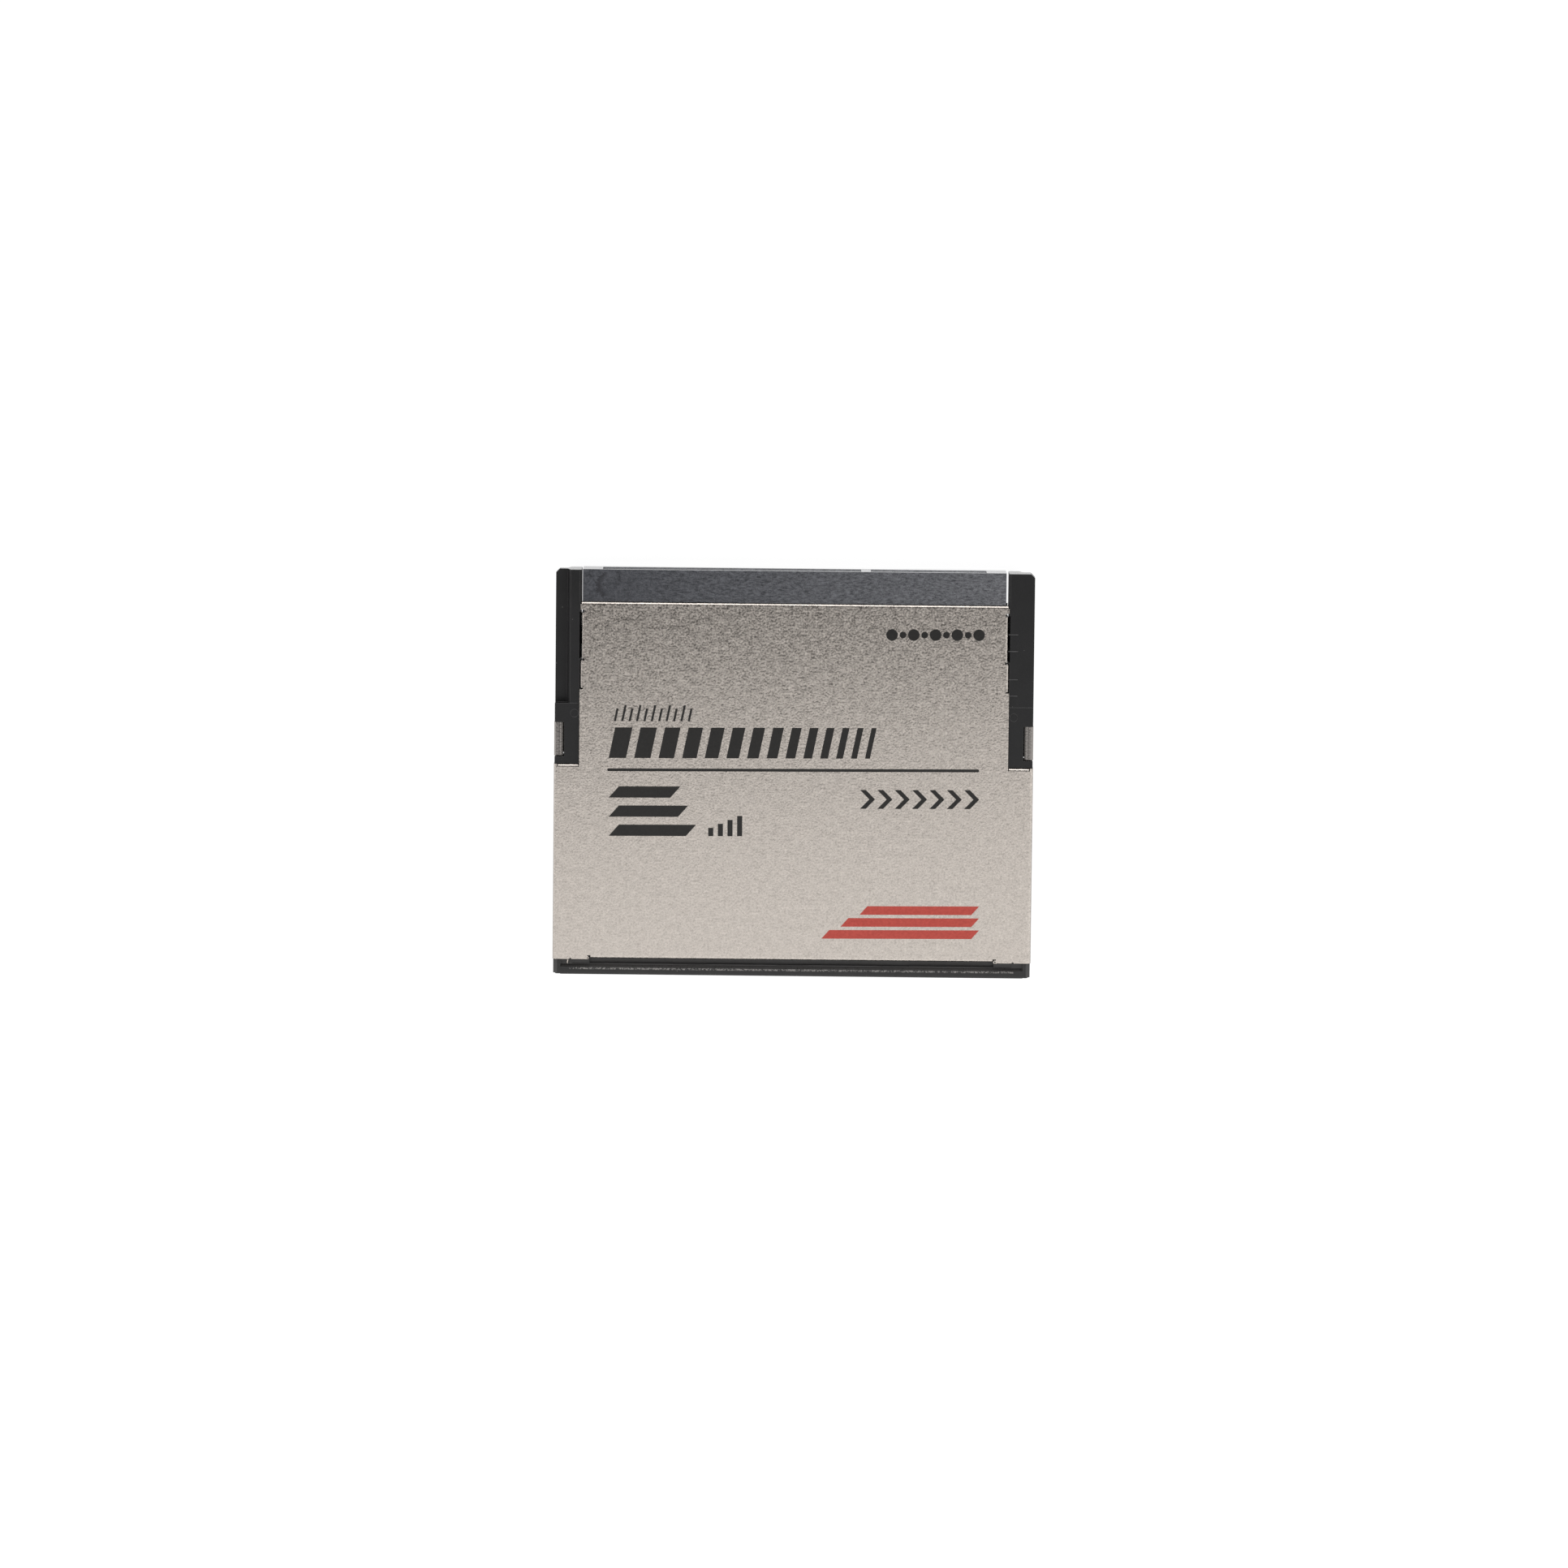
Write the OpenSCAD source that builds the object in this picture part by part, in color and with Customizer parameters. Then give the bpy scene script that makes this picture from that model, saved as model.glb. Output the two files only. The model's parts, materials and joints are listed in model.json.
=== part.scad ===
// Flash memory card for a camera: a moulded plastic frame closed by two folded sheet metal covers,
// with a blade connector along one end and a populated circuit board inside.
// X runs across the card, +Y points to the connector end and +Z out of the label side.
// The origin is on the outer face of the bottom cover, under the middle of the card.

/* [Card] */
// Width over the metal sides
card_w = 42.8; // [39:0.1:47]
// Length from the connector end to the rear end
card_l = 36.4; // [33:0.1:40]
// Thickness over the two covers
card_t = 3.6; // [3.3:0.05:4.4]
// How far the bare rails lie below each cover
rail_set = 0.15; // [0.1:0.01:0.2]

/* [Covers] */
// Thickness of the cover sheet
sheet_t = 0.2; // [0.15:0.01:0.22]
// Inside radius of the long side folds
fold_r = 0.1; // [0.08:0.01:0.15]
// Inside radius of the tighter folds of the lips and the small side tabs
tight_fold_r = 0.05; // [0.03:0.01:0.08]
// How far the narrow front part of a cover laps each rail
neck_lap = 0.05; // [0:0.01:0.1]
// Connector length left bare in front of the covers
front_bare = 2.9; // [2.6:0.1:3.2]
// Plastic between a latch notch and the shoulder of the cover behind it
shoulder_wall = 0.65; // [0.55:0.05:1.2]
// Plastic left bare behind the covers
rear_bare = 1.4; // [1.25:0.05:1.6]
// Height of the shoulder and rear lips, measured from the outer face
lip_h = 0.7; // [0.6:0.05:0.8]
// Height of the front lip, measured from the outer face
front_lip_h = 0.45; // [0.4:0.01:0.55]
// Height of the side tabs, measured from the outer face
tab_h = 1.4; // [1.2:0.05:1.5]
// Gap between the two covers where their sides meet
seam = 0.1; // [0.06:0.02:0.2]

/* [Rails] */
// Width of each rail beside the connector
rail_w = 2.3; // [2:0.05:2.6]
// Length of the guide step at the front of each rail
guide_l = 12; // [10.5:0.1:13.4]
// Width of the guide step
guide_w = 1.2; // [1:0.05:1.35]
// Thickness of the guide tongue left on the left rail
guide_tongue = 1; // [0.9:0.05:1.2]
// Height of the guide step cut under the right rail
guide_under = 1.1; // [0.9:0.05:1.3]
// Slope of the wall of a guide step, to each side of its middle
guide_draft = 0.15; // [0.1:0.01:0.2]
// Distance from the front end to the latch notches
notch_back = 13.7; // [12.1:0.1:15]
// Length of a latch notch
notch_l = 3.1; // [2.6:0.05:3.4]
// Depth of a latch notch
notch_d = 0.85; // [0.75:0.05:0.9]
// Level of the metal shelf that closes a latch notch
notch_shelf_z = 3; // [2.7:0.05:3.1]

/* [Rear bar] */
// Depth of the fingernail groove
nail_d = 0.3; // [0.2:0.05:0.4]
// Width of the flat band behind the groove
nail_band = 0.65; // [0.5:0.05:0.75]
// Length of the solid block at each end of the bar
bar_block = 0.65; // [0.5:0.05:0.9]
// Number of moulded pads along the groove
nail_pads = 5; // [3:2:5]
// Length of a moulded pad
nail_pad_l = 2.9; // [2.5:0.1:3.1]

/* [Connector] */
// Gap between the connector moulding and each rail
plug_gap = 0.18; // [0.1:0.01:0.2]
// Depth of the moulding from the front end to the board
plug_d = 7; // [6.2:0.1:7.8]
// Offset of the moulding from the card's centre line
plug_shift = -0.065; // [-0.08:0.005:0]
// Plastic under the mouths
mouth_floor = 0.75; // [0.65:0.05:0.85]
// Plastic over the mouths
mouth_roof = 0.55; // [0.5:0.05:0.65]
// Depth of the mouths
mouth_d = 4.6; // [4.2:0.1:5]
// Plastic left between a mouth and the outer side
mouth_margin = 1.765; // [1.6:0.005:2]
// Distance from the end of a mouth to the middle of its last contact
mouth_end = 1.35; // [1.2:0.01:1.5]
// Wall between the two mouths
key_w = 0.87; // [0.7:0.01:1]
// Thickness of the blade in each mouth
blade_t = 0.9; // [0.8:0.05:1]
// Contacts in the long power mouth
power_count = 17; // [15:1:17]
// Contacts in the short signal mouth
signal_count = 7; // [5:1:7]
// Width of a contact
contact_w = 0.8; // [0.7:0.02:0.86]
// Thickness of a contact
contact_t = 0.15; // [0.12:0.01:0.18]

/* [Board] */
// Thickness of the circuit board
board_t = 0.8; // [0.7:0.05:0.9]
// Side of the square controller package
controller_w = 10; // [8.8:0.1:11.2]
// Width of the buffer memory package beside it
buffer_w = 7.5; // [6.6:0.1:8.4]
// Gap between neighbouring packages
chip_gap = 0.5; // [0.4:0.05:0.8]
// Room left between the packages and the covers
chip_headroom = 0.2; // [0.15:0.01:0.3]

/* [Hidden] */
$fn = 48;
cut = 0.5;      // how far a cutting shape runs past the face that it opens
fit = 0.05;     // clearance of the covers against the plastic
slip = 0.02;    // clearance of the contacts and the board in their slots
signal_names = [for (i = [1:signal_count]) str("signal_contact_", i)];
power_names = [for (i = [1:power_count]) str("power_contact_", i)];
flash_names = [for (i = [1:4]) str("flash_chip_", i)];
capacitor_names = [for (i = [1:8]) str("capacitor_", i)];
resistor_names = [for (i = [1:4]) str("resistor_array_", i)];
inductor_names = [for (i = [1:2]) str("inductor_", i)];
regulator_names = [for (i = [1:2]) str("regulator_", i)];

function from_front(d) = card_l / 2 - d;
front_y = card_l / 2;
rear_y = -card_l / 2;
half_w = card_w / 2;
mid_z = card_t / 2;

// Levels of the bare rails, and of the seats that carry the two covers
rail_low = rail_set;
rail_high = card_t - rail_set;
seat_low = sheet_t;
seat_high = card_t - sheet_t;

// Plan of the rails
rail_out = half_w - fit;
rail_in = rail_out - rail_w;
rail_front_y = front_y - fit;
notch_in = rail_out - notch_d;
notch_front_y = from_front(notch_back);
notch_rear_y = notch_front_y - notch_l;
notch_rim = 0.1;

// Plan of the covers
fold_out = fold_r + sheet_t;
tight_fold_out = tight_fold_r + sheet_t;
shoulder_back = notch_back + notch_l + shoulder_wall;
shoulder_y = from_front(shoulder_back);
cover_front_y = from_front(front_bare);
cover_rear_y = rear_y + rear_bare;
rear_lip_y = cover_rear_y + 0.1;
neck_half = rail_in + neck_lap;
plain_half = neck_half + 0.05;
ear_end = front_bare + 0.7;
relief = 0.3;
shoulder_gap = 0.07;
first_tab = [ear_end + relief, ear_end + relief + 4];
second_tab = [first_tab[1] + relief, first_tab[1] + relief + 2.4];
first_tab_half = neck_half - 0.1;
plain_start = second_tab[1] + relief / 2;
rear_lip_half = neck_half - 1.1;
side_lip_h = mid_z - seam / 2;
snap = [first_tab[0] + 1.45, first_tab[0] + 2.9];
snap_low = 0.7;
snap_high = 1.2;

// Plan of the rest of the frame
wall_out = half_w - sheet_t - fit;
rear_wall_in = cover_rear_y + 0.8;
end_chamfer = 0.35;
edge_r = 0.2;
ledge_w = 0.65;

// Plan and levels of the connector
plug_half = rail_in - plug_gap;
plug_rear_half = first_tab_half - sheet_t - 0.1;
plug_rear_y = from_front(plug_d);
contact_z = mid_z + 0.35;
board_low = contact_z - board_t;
board_slot = 0.7;
mouth_low = seat_low + mouth_floor;
mouth_high = seat_high - mouth_roof;
mouth_room = 2 * (plug_half - mouth_margin - 2 * mouth_end) - key_w;
pitch = mouth_room / (power_count + signal_count - 2);
signal_mouth_w = mouth_width(signal_count);
power_mouth_w = mouth_width(power_count);
signal_mouth_x = plug_half - mouth_margin - signal_mouth_w / 2;
power_mouth_x = signal_mouth_x - signal_mouth_w / 2 - key_w - power_mouth_w / 2;
blade_low = contact_z + 0.1 - blade_t;
blade_high = contact_z + 0.1;
blade_front = 0.1;
blade_side = 0.6;
nose_h = 0.4;
nose_r = 0.12;
tail_l = 1.2;
arm_w = 0.8;
arm_l = 4;

// Plan of the board and the two pegs that locate it
board_half = rail_in - 0.1;
board_neck_half = plug_rear_half - arm_w - fit;
board_shoulder_y = plug_rear_y - arm_l - 0.2;
board_rear_y = rear_wall_in + 0.1;
peg_r = 0.5;
peg_x = board_half - 1.1;
peg_y = board_shoulder_y - 1.25;
boss_w = 2.2;

// Plan of the packages: the controller row lies behind the contact tails, and the memory fills the rest
chip_t = (seat_high - seat_low - board_t) / 2 - chip_headroom;
chip_room = rail_in - ledge_w;
controller_y = plug_rear_y - tail_l - chip_gap - controller_w / 2;
flash_w = chip_room - 1.5 * chip_gap;
flash_x = (flash_w + chip_gap) / 2;
flash_front_y = controller_y - controller_w / 2 - chip_gap;
flash_rear_y = rear_wall_in + ledge_w + chip_gap / 2;
flash_l = flash_front_y - flash_rear_y;
flash_y = (flash_front_y + flash_rear_y) / 2;
controller_x = -(controller_w + chip_gap) / 2;
buffer_x = (buffer_w + chip_gap) / 2;
left_column_x = (controller_x - controller_w / 2 - chip_room) / 2;
right_column_x = (buffer_x + buffer_w / 2 + chip_room) / 2;
column_pitch = board_neck_half * 2 / 7;

// Width of a mouth that takes a row of contacts
function mouth_width(count) = (count - 1) * pitch + 2 * mouth_end;

// The first and the last contact of each row are grounds, which reach further forward
function is_ground(i, count) = i == 1 || i == count || i % 3 == 1;
function contact_front(i, count) = front_y - blade_front - (is_ground(i, count) ? 0 : 0.5);
function contact_x(i, count, centre) = plug_shift + centre + (i - (count + 1) / 2) * pitch;

// A box between two limits on each axis
module block(x, y, z) {
    translate([min(x), min(y), min(z)])
        cube([abs(x[1] - x[0]), abs(y[1] - y[0]), abs(z[1] - z[0])]);
}

// A shape and its mirror image across the card
module both_sides() {
    children();
    mirror([1, 0, 0]) children();
}

// A shape on the label side and its mirror image on the underside
module both_faces() {
    children();
    translate([0, 0, card_t]) mirror([0, 0, 1]) children();
}

// A profile drawn with Y to the right and Z up, run along X
module along_x(length) {
    rotate([90, 0, 90]) linear_extrude(length, center = true) children();
}

// A profile drawn with X to the right and Z up, run along Y between two places
module along_y(limits) {
    translate([0, max(limits), 0])
        rotate([90, 0, 0]) linear_extrude(abs(limits[1] - limits[0])) children();
}

// Folded sheet edge along X: its outer faces lie on y = 0 and z = 0 and its lip hangs down
module fold(length, lip, inner_r = fold_r) {
    outer_r = inner_r + sheet_t;
    along_x(length) {
        intersection() {
            translate([-outer_r, -outer_r]) difference() {
                circle(outer_r);
                circle(inner_r);
            }
            translate([-outer_r, -outer_r]) square(outer_r);
        }
        translate([-sheet_t, -lip]) square([sheet_t, lip - outer_r]);
    }
}

// A fold on the right-hand edge of a cover between two distances from the front
module side_fold(limits, outer_half, lip, inner_r = fold_r) {
    middle = from_front((limits[0] + limits[1]) / 2);
    translate([outer_half, middle, card_t])
        rotate([0, 0, -90]) fold(limits[1] - limits[0], lip, inner_r);
}

// A stretch of flat sheet across the card between two distances from the front
module flat_stretch(limits, half) {
    translate([-half, from_front(limits[1])])
        square([2 * half, limits[1] - limits[0]]);
}

// Flat part of a cover, inside the tangent lines of its folds
module cover_plan() {
    rear = front_y - cover_rear_y;
    lip_rear = front_y - rear_lip_y - tight_fold_out;
    wide_front = shoulder_back + tight_fold_out;
    wide_half = half_w - fold_out;
    difference() {
        union() {
            flat_stretch([front_bare + tight_fold_out, ear_end], neck_half);
            flat_stretch([ear_end, first_tab[1] + relief], first_tab_half - tight_fold_out);
            flat_stretch([second_tab[0], plain_start], neck_half - tight_fold_out);
            flat_stretch([plain_start, wide_front], plain_half);
            flat_stretch([wide_front, lip_rear], wide_half);
            both_sides()
                translate([rear_lip_half + relief, cover_rear_y])
                    square([wide_half - rear_lip_half - relief, rear - lip_rear]);
        }
        both_sides()
            translate([neck_half + 0.7, cover_rear_y]) circle(0.1);
    }
}

// Window near the root of each first side tab, which snaps over a wedge on the rail
module snap_windows() {
    both_sides()
        block([first_tab_half - cut, first_tab_half + cut],
            [from_front(snap[0]), from_front(snap[1])],
            [card_t - snap_high, card_t - snap_low]);
}

// Folded sheet cover, shaped as the one on the label side
module cover_shell() {
    shoulder_l = half_w - fold_out - plain_half - 2 * shoulder_gap;
    difference() {
        union() {
            translate([0, 0, card_t - sheet_t]) linear_extrude(sheet_t) cover_plan();
            translate([0, cover_front_y, card_t])
                fold(2 * (neck_half - 0.1), front_lip_h, tight_fold_r);
            translate([0, rear_lip_y, card_t])
                rotate([0, 0, 180]) fold(2 * rear_lip_half, lip_h, tight_fold_r);
            both_sides() {
                translate([plain_half + shoulder_gap + shoulder_l / 2, shoulder_y, card_t])
                    fold(shoulder_l, lip_h, tight_fold_r);
                side_fold([shoulder_back, front_y - cover_rear_y], half_w, side_lip_h);
                side_fold(first_tab, first_tab_half, tab_h, tight_fold_r);
                side_fold(second_tab, neck_half, tab_h, tight_fold_r);
            }
        }
        snap_windows();
    }
}

module top_cover() {
    color([0.72, 0.69, 0.66]) cover_shell();
}

// Metal ear in the right-hand latch notch: it runs out along the underside, up the side and back in as a shelf
module notch_ear() {
    ear = [notch_rear_y + fit, notch_front_y - fit];
    length = ear[1] - ear[0];
    middle = (ear[0] + ear[1]) / 2;
    block([plain_half - fit, half_w - fold_out], ear, [0, sheet_t]);
    block([notch_in + notch_rim, half_w - fold_out], ear, [notch_shelf_z - sheet_t, notch_shelf_z]);
    translate([half_w, middle, 0])
        rotate([0, 0, -90]) mirror([0, 0, 1]) fold(length, notch_shelf_z / 2);
    translate([half_w, middle, notch_shelf_z])
        rotate([0, 0, -90]) fold(length, notch_shelf_z / 2);
}

module bottom_cover() {
    color([0.7, 0.68, 0.66]) {
        translate([0, 0, card_t]) mirror([0, 0, 1]) cover_shell();
        both_sides() notch_ear();
    }
}

// Outline of both rails and the rear bar, seen from above
module rail_plan() {
    both_sides()
        polygon([
            [plain_half + fit, shoulder_y + fit],
            [plain_half + fit, rail_front_y],
            [rail_out - end_chamfer, rail_front_y],
            [rail_out, rail_front_y - end_chamfer],
            [rail_out, shoulder_y + fit]]);
    translate([-rail_out, rear_y + 0.1]) square([2 * rail_out, rear_bare - 0.1 - fit]);
    translate([bar_block - rail_out, rear_y]) square([2 * (rail_out - bar_block), rear_bare - fit]);
}

// Outline of the plastic that lies between the two covers
module seat_plan() {
    both_sides() {
        polygon([
            [rail_in, shoulder_y + fit],
            [rail_in, rail_front_y],
            [rail_out - end_chamfer, rail_front_y],
            [rail_out, rail_front_y - end_chamfer],
            [rail_out, shoulder_y + fit]]);
        translate([rail_in, rear_wall_in])
            square([wall_out - rail_in, shoulder_y + 2 * fit - rear_wall_in]);
    }
    translate([-wall_out, rear_y + fit]) square([2 * wall_out, rear_wall_in - rear_y - fit]);
}

// Ledges, bosses and pegs that carry the board
module board_rests() {
    both_sides() {
        block([rail_in - ledge_w, rail_in + fit], [rear_wall_in, board_shoulder_y],
            [seat_low, board_low]);
        block([board_half + fit - boss_w, rail_in + fit],
            [board_shoulder_y - boss_w, board_shoulder_y], [seat_low, board_low]);
        translate([peg_x, peg_y, seat_low]) cylinder(h = board_low + board_t + 0.4 - seat_low, r = peg_r);
    }
    block([-rail_in, rail_in], [rear_wall_in - fit, rear_wall_in + ledge_w], [seat_low, board_low]);
}

// Cut above a level along the front of the right-hand rail, with a drafted wall
module guide_step(level) {
    inner = rail_out - guide_w;
    along_y([from_front(guide_l), front_y + cut])
        polygon([
            [inner + guide_draft, level],
            [inner - guide_draft, rail_high],
            [inner - guide_draft, card_t + cut],
            [half_w + cut, card_t + cut],
            [half_w + cut, level]]);
}

// Stepped guides of the two rails: a tongue on the left, and a step under the right
module guide_steps() {
    both_faces()
        mirror([1, 0, 0]) guide_step(mid_z + guide_tongue / 2);
    translate([0, 0, card_t])
        mirror([0, 0, 1]) guide_step(rail_high - guide_under);
}

// Pockets in the rails for the side tabs of the top cover
module tab_pockets() {
    depth = tab_h + 0.1;
    both_sides() {
        block([rail_in - cut, first_tab_half + 0.2],
            [from_front(first_tab[0] - 0.1), from_front(first_tab[1] + 0.1)],
            [card_t - depth, card_t + cut]);
        block([rail_in - cut, neck_half + fit],
            [from_front(second_tab[0] - 0.1), from_front(second_tab[1] + 0.1)],
            [card_t - depth, card_t + cut]);
    }
}

// Wedges that hold the side tabs of the top cover by their windows
module snap_wedges() {
    wall = first_tab_half + 0.2;
    tip = first_tab_half - sheet_t / 2;
    low = card_t - snap_high + fit;
    high = card_t - snap_low - fit;
    both_sides()
        along_y([from_front(snap[0] + fit), from_front(snap[1] - fit)])
            polygon([[wall + fit, low], [tip, low], [tip, low + 0.1], [wall + fit, high]]);
}

// Slots for the shoulder and rear lips of the top cover
module lip_slots() {
    deep = card_t - lip_h - 0.1;
    block([-rear_lip_half - 0.1, rear_lip_half + 0.1],
        [rear_lip_y - cut, rear_lip_y + fold_out], [deep, card_t + cut]);
    both_sides()
        block([plain_half + shoulder_gap - slip, rail_out + cut], [shoulder_y - fold_out, shoulder_y + fit],
            [deep, card_t + cut]);
}

// Bevel under the side fold of the top cover
module fold_bevels() {
    both_sides()
        along_y([rear_y, shoulder_y])
            polygon([
                [wall_out - fold_r - fit, seat_high],
                [half_w + cut, seat_high - fold_r - fit - half_w - cut + wall_out],
                [half_w + cut, seat_high + cut],
                [wall_out - fold_r - fit, seat_high + cut]]);
}

// Fingernail groove along the rear bar, with its moulded pads
module nail_groove() {
    reach = 2 * (rail_out - bar_block);
    back = rear_y + nail_band;
    floor_z = rail_high - nail_d;
    along_x(reach)
        polygon([
            [rear_lip_y + fit, floor_z],
            [back + 0.25, floor_z],
            [back, rail_high],
            [back, rail_high + cut],
            [rear_lip_y + fit, rail_high + cut]]);
    pad_pitch = (2 * rear_lip_half + 0.4) / (nail_pads - 1);
    for (i = [0:nail_pads - 1])
        translate([(i - (nail_pads - 1) / 2) * pad_pitch, 0, 0])
            block([-nail_pad_l / 2, nail_pad_l / 2], [rear_lip_y, back + 0.3],
                [floor_z - 0.06, rail_high]);
}

// Rounded rear edge of the bar
module rear_edge_round() {
    along_x(card_w + cut)
        translate([rear_y + edge_r, rail_high - edge_r])
            difference() {
                translate([-edge_r - cut, 0]) square([edge_r + cut, edge_r + cut]);
                circle(edge_r);
            }
}

// Bevel along the front end of the rails
module rail_nose() {
    bevel = 0.06;
    along_x(card_w + cut)
        polygon([
            [rail_front_y - bevel, rail_high],
            [rail_front_y - bevel, rail_high + cut],
            [rail_front_y + cut, rail_high + cut],
            [rail_front_y + cut, rail_high - bevel],
            [rail_front_y, rail_high - bevel]]);
}

// Latch notch through the right-hand rail, and the relief for the metal ear under it
module latch_notch() {
    block([notch_in, half_w + cut], [notch_rear_y, notch_front_y], [-cut, card_t + cut]);
    block([rail_in + 0.05, half_w + cut], [notch_rear_y, notch_front_y], [-cut, seat_low]);
}

// Faint marks of the mould on the top of the rails: pin marks, shut-offs and the guide line
module mould_marks() {
    depth = 0.03;
    top = [rail_high - depth, rail_high + cut];
    for (start = [snap[0], second_tab[0] + 1.1])
        both_sides()
            block([neck_half + 0.1, neck_half + 1.05], [from_front(start), from_front(start + 1.45)], top);
    for (back = [1.1, notch_back - 0.8])
        both_sides()
            translate([rail_in + 0.55, from_front(back), rail_high - depth]) cylinder(h = 1, r = 0.35);
    block([-half_w - cut, half_w + cut], [from_front(guide_l), front_y + cut], top);
}

module frame() {
    color([0.14, 0.14, 0.145]) {
        difference() {
            union() {
                translate([0, 0, seat_low]) linear_extrude(seat_high - seat_low) seat_plan();
                translate([0, 0, rail_low]) linear_extrude(rail_high - rail_low) rail_plan();
                board_rests();
            }
            guide_steps();
            both_faces() {
                tab_pockets();
                lip_slots();
                fold_bevels();
                nail_groove();
                rear_edge_round();
                rail_nose();
            }
            both_sides() latch_notch();
            mould_marks();
        }
        both_faces() snap_wedges();
    }
}

// Mouth, blade and contact grooves for one row of contacts
module mouth_cut(count, centre, width) {
    x = [plug_shift + centre - width / 2, plug_shift + centre + width / 2];
    lead = 0.2;
    difference() {
        union() {
            block(x, [front_y - mouth_d, front_y + cut], [mouth_low, mouth_high]);
            translate([plug_shift + centre, front_y, 0])
                along_x(width)
                    polygon([
                        [-lead, mouth_low], [0, mouth_low - lead], [cut, mouth_low - lead],
                        [cut, mouth_high + lead], [0, mouth_high + lead], [-lead, mouth_high]]);
        }
        blade(x);
    }
    for (i = [1:count]) contact_groove(i, count, centre);
}

// Blade that stands in a mouth, with its nose bevelled
module blade(x) {
    nose = 0.2;
    front = front_y - blade_front;
    translate([(x[0] + x[1]) / 2, 0, 0])
        along_x(x[1] - x[0] - 2 * blade_side)
            polygon([
                [front_y - mouth_d - fit, blade_low],
                [front - nose, blade_low],
                [front, blade_low + nose],
                [front, blade_high - nose],
                [front - nose, blade_high],
                [front_y - mouth_d - fit, blade_high]]);
}

// Groove that holds one contact, from the nose of the blade back through the moulding
module contact_groove(i, count, centre) {
    x = contact_x(i, count, centre);
    half = contact_w / 2 + slip;
    front = contact_front(i, count);
    block([x - half, x + half], [plug_rear_y - cut, front + slip],
        [contact_z, contact_z + contact_t + slip]);
    block([x - half, x + half], [front - contact_t - nose_r, front + slip],
        [contact_z + contact_t - nose_h - slip, contact_z + contact_t + slip]);
}

// Sides of the moulding that reach back beside the board
module plug_arms() {
    along = [plug_rear_y - arm_l, plug_rear_y + fit];
    both_sides() {
        block([plug_rear_half - arm_w, plug_rear_half], along, [seat_low, seat_high]);
        block([plug_rear_half - arm_w - 0.6, plug_rear_half], along, [seat_low, board_low]);
    }
}

// Slot across the moulding for the front lip of the top cover
module front_lip_slot() {
    block([-plug_half - cut, plug_half + cut],
        [cover_front_y - fold_out, cover_front_y + slip],
        [card_t - front_lip_h - fit, seat_high + cut]);
}

module connector_housing() {
    step_y = from_front(first_tab[0] - 0.15);
    color([0.3, 0.31, 0.33]) difference() {
        union() {
            translate([plug_shift, 0, 0])
                block([-plug_half, plug_half], [step_y - fit, front_y], [seat_low, seat_high]);
            block([-plug_rear_half, plug_rear_half], [plug_rear_y, step_y], [seat_low, seat_high]);
            plug_arms();
        }
        both_faces() front_lip_slot();
        mouth_cut(signal_count, signal_mouth_x, signal_mouth_w);
        mouth_cut(power_count, power_mouth_x, power_mouth_w);
        block([-board_neck_half - slip, board_neck_half + slip],
            [plug_rear_y - cut, plug_rear_y + board_slot], [board_low, contact_z]);
    }
}

// Stamped contact: tail on the board, straight strip in the blade, and a nose bent down in front
module contact(i, count, centre) {
    front = contact_front(i, count);
    tail = plug_rear_y - tail_l;
    bend_out = nose_r + contact_t;
    color([0.85, 0.68, 0.32])
        translate([contact_x(i, count, centre), 0, 0])
            along_x(contact_w) {
                translate([tail, contact_z]) square([front - bend_out - tail, contact_t]);
                intersection() {
                    translate([front - bend_out, contact_z - nose_r]) difference() {
                        circle(bend_out);
                        circle(nose_r);
                    }
                    translate([front - bend_out, contact_z - nose_r]) square(bend_out);
                }
                translate([front - contact_t, contact_z + contact_t - nose_h])
                    square([contact_t, nose_h - bend_out]);
            }
}

module circuit_board() {
    color([0.05, 0.22, 0.13]) difference() {
        union() {
            block([-board_half, board_half], [board_rear_y, board_shoulder_y],
                [board_low, contact_z]);
            block([-board_neck_half, board_neck_half],
                [board_shoulder_y - fit, plug_rear_y + board_slot - slip], [board_low, contact_z]);
        }
        both_sides()
            translate([peg_x, peg_y, board_low - cut])
                cylinder(h = board_t + 2 * cut, r = peg_r + 0.06);
    }
}

// Moulded chip package with a bevelled top edge and a round mark at one corner
module chip(w, l, t) {
    bevel = 0.15;
    difference() {
        intersection() {
            along_x(w)
                polygon([
                    [-l / 2, 0], [l / 2, 0], [l / 2, t - bevel], [l / 2 - bevel, t],
                    [bevel - l / 2, t], [-l / 2, t - bevel]]);
            along_y([-l / 2, l / 2])
                polygon([
                    [-w / 2, 0], [w / 2, 0], [w / 2, t - bevel], [w / 2 - bevel, t],
                    [bevel - w / 2, t], [-w / 2, t - bevel]]);
        }
        translate([1 - w / 2, l / 2 - 1, t - 0.05]) cylinder(h = 1, r = 0.4);
    }
}

// Two memory packages on each side of the board
module flash_chip(i) {
    x = i % 2 == 1 ? -flash_x : flash_x;
    color([0.09, 0.09, 0.1])
        if (i <= 2) translate([x, flash_y, contact_z]) chip(flash_w, flash_l, chip_t);
        else translate([x, flash_y, board_low]) mirror([0, 0, 1]) chip(flash_w, flash_l, chip_t);
}

module controller_chip() {
    color([0.1, 0.1, 0.11])
        translate([controller_x, controller_y, contact_z]) chip(controller_w, controller_w, chip_t);
}

module buffer_chip() {
    color([0.1, 0.1, 0.11])
        translate([buffer_x, controller_y, contact_z]) chip(buffer_w, controller_w, chip_t);
}

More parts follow.
